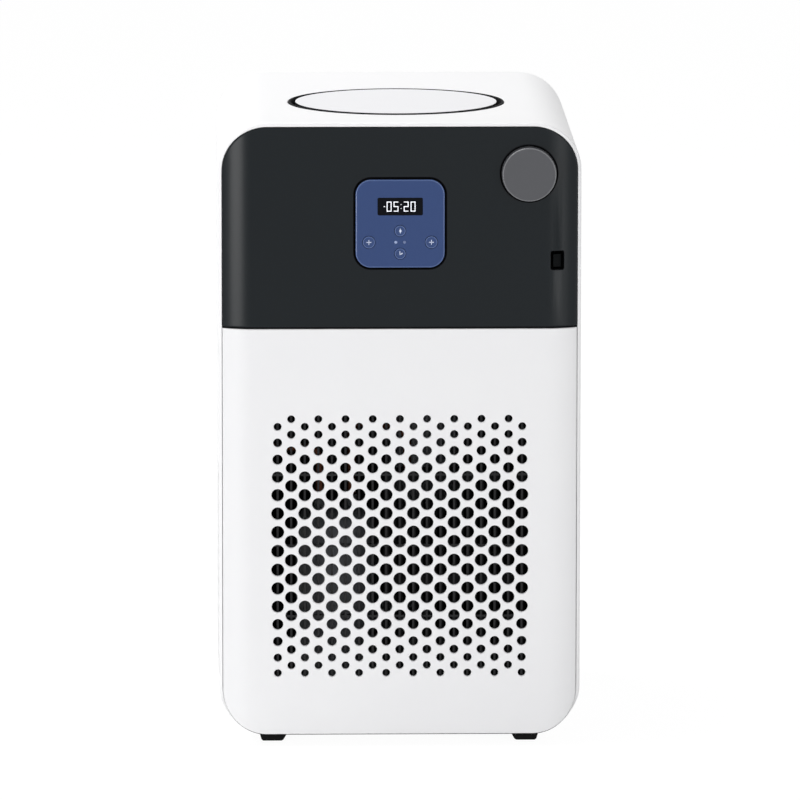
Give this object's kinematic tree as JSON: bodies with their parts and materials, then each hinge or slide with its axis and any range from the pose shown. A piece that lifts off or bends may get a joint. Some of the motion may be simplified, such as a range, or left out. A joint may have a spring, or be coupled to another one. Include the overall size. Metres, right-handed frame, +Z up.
{
  "type": "refrigerated circulator",
  "caption": "Compact bench circulator: white casing with a round lid over a cooled bath, dark control panel with dial and keys, pull-off vent grille, rear hose nozzles and drain cock.",
  "frame": {"origin": "middle of the overall box, on the surface that the feet stand on", "axes": "+Z up, +X to the right seen from the front, the front faces -Y"},
  "size_m": [0.25, 0.336, 0.435],
  "materials": {
    "white_paint": "fine satin powder coat",
    "white_plastic": "satin moulded",
    "dark_plastic": "fine matt moulded",
    "blue_plastic": "matt moulded",
    "display_glass": "clear gloss",
    "light_lens": "diffuse lens",
    "grey_plastic": "matt with a turned edge",
    "black_plastic": "matt moulded",
    "red_plastic": "satin moulded",
    "board": "coated board",
    "foam": "closed foam",
    "black_rubber": "matt",
    "stainless_steel": "brushed",
    "zinc_sheet": "zinc plated sheet",
    "black_paint": "gloss paint",
    "black_fins": "matt black coat on the fins",
    "copper_tube": "drawn copper",
    "valve_brass": "nickel free brass"
  },
  "bodies": {
    "casing": {"bath_tank": "stainless_steel", "chassis_tray": "zinc_sheet", "compressor": "black_paint", "compressor_grommets": "black_rubber", "condenser": "black_fins", "control_board": "board", "control_pad": "blue_plastic", "cooling_coil": "stainless_steel", "discharge_line": "copper_tube", "display_window": "display_glass", "drain_pipe": "black_rubber", "drain_valve": "valve_brass", "encoder_body": "black_plastic", "fan_frame": "black_plastic", "feet": "black_rubber", "filter_drier": "copper_tube", "foot_screws": "stainless_steel", "front_crossbar": "zinc_sheet", "grille_catches": "black_plastic", "heater_loop": "stainless_steel", "hose_nozzles": "stainless_steel", "indicator_lights": "light_lens", "inlet_pins": "valve_brass", "level_stem": "stainless_steel", "lid_ring": "black_plastic", "liquid_line": "copper_tube", "mains_inlet": "black_plastic", "mid_shelf": "zinc_sheet", "outer_shell": "white_paint", "power_supply": "zinc_sheet", "pump_housing": "black_plastic", "pump_motor": "black_paint", "rear_panel": "white_paint", "rear_screws": "stainless_steel", "return_pipe": "black_rubber", "service_port": "black_plastic", "suction_line": "copper_tube", "supply_pipe": "black_rubber", "tank_insulation": "foam", "temperature_probe": "stainless_steel", "upper_front_panel": "dark_plastic"},
    "lid": {"lid_disc": "white_plastic", "lid_plug": "foam", "lid_gasket": "black_rubber"},
    "grille": {"vent_grille": "white_plastic", "grille_pins": "black_plastic", "dust_filter": "black_plastic"},
    "dial_press": {"dial_plunger": "black_plastic"},
    "dial": {"dial_knob": "grey_plastic", "dial_shaft": "stainless_steel"},
    "key_left": {"key_left": "blue_plastic"},
    "key_right": {"key_right": "blue_plastic"},
    "key_up": {"key_up": "blue_plastic"},
    "key_down": {"key_down": "blue_plastic"},
    "fan": {"fan_rotor": "black_plastic"},
    "pump_rotor": {"pump_impeller": "black_plastic"},
    "rocker": {"power_rocker": "black_plastic"},
    "drain_lever": {"drain_lever": "red_plastic"},
    "float": {"level_float": "black_plastic"}
  },
  "joints": [
    {"name": "lid_lift", "type": "slide", "parent": "casing", "child": "lid", "axis": [0, 0, 1], "range_m": [0, 0.1]},
    {"name": "grille_pull", "type": "slide", "parent": "casing", "child": "grille", "axis": [0, -1, 0], "range_m": [0, 0.04]},
    {"name": "dial_push", "type": "slide", "parent": "casing", "child": "dial_press", "axis": [0, 1, 0], "range_m": [0, 0.0008], "stiffness_N_per_m": 2500, "springref_m": -0.0004},
    {"name": "dial_turn", "type": "hinge", "parent": "dial_press", "child": "dial", "pos_m": [0.0886, -0.161, 0.3995], "axis": [0, 1, 0], "continuous": true},
    {"name": "key_left_push", "type": "slide", "parent": "casing", "child": "key_left", "axis": [0, 1, 0], "range_m": [0, 0.0008], "stiffness_N_per_m": 1500, "springref_m": -0.0004},
    {"name": "key_right_push", "type": "slide", "parent": "casing", "child": "key_right", "axis": [0, 1, 0], "range_m": [0, 0.0008], "stiffness_N_per_m": 1500, "springref_m": -0.0004},
    {"name": "key_up_push", "type": "slide", "parent": "casing", "child": "key_up", "axis": [0, 1, 0], "range_m": [0, 0.0008], "stiffness_N_per_m": 1500, "springref_m": -0.0004},
    {"name": "key_down_push", "type": "slide", "parent": "casing", "child": "key_down", "axis": [0, 1, 0], "range_m": [0, 0.0008], "stiffness_N_per_m": 1500, "springref_m": -0.0004},
    {"name": "fan_spin", "type": "hinge", "parent": "casing", "child": "fan", "pos_m": [0.042, -0.09, 0.111], "axis": [0, 1, 0], "continuous": true},
    {"name": "pump_spin", "type": "hinge", "parent": "casing", "child": "pump_rotor", "pos_m": [0.02, -0.0194, 0.227], "axis": [0, 0, 1], "continuous": true},
    {"name": "rocker_tilt", "type": "hinge", "parent": "casing", "child": "rocker", "pos_m": [0.076, 0.1375, 0.076], "axis": [1, 0, 0], "range_deg": [0, 16]},
    {"name": "lever_turn", "type": "hinge", "parent": "casing", "child": "drain_lever", "pos_m": [-0.084, 0.144, 0.0515], "axis": [0, 0, 1], "range_deg": [0, 90]},
    {"name": "float_rise", "type": "slide", "parent": "casing", "child": "float", "axis": [0, 0, 1], "range_m": [0, 0.05]}
  ]
}
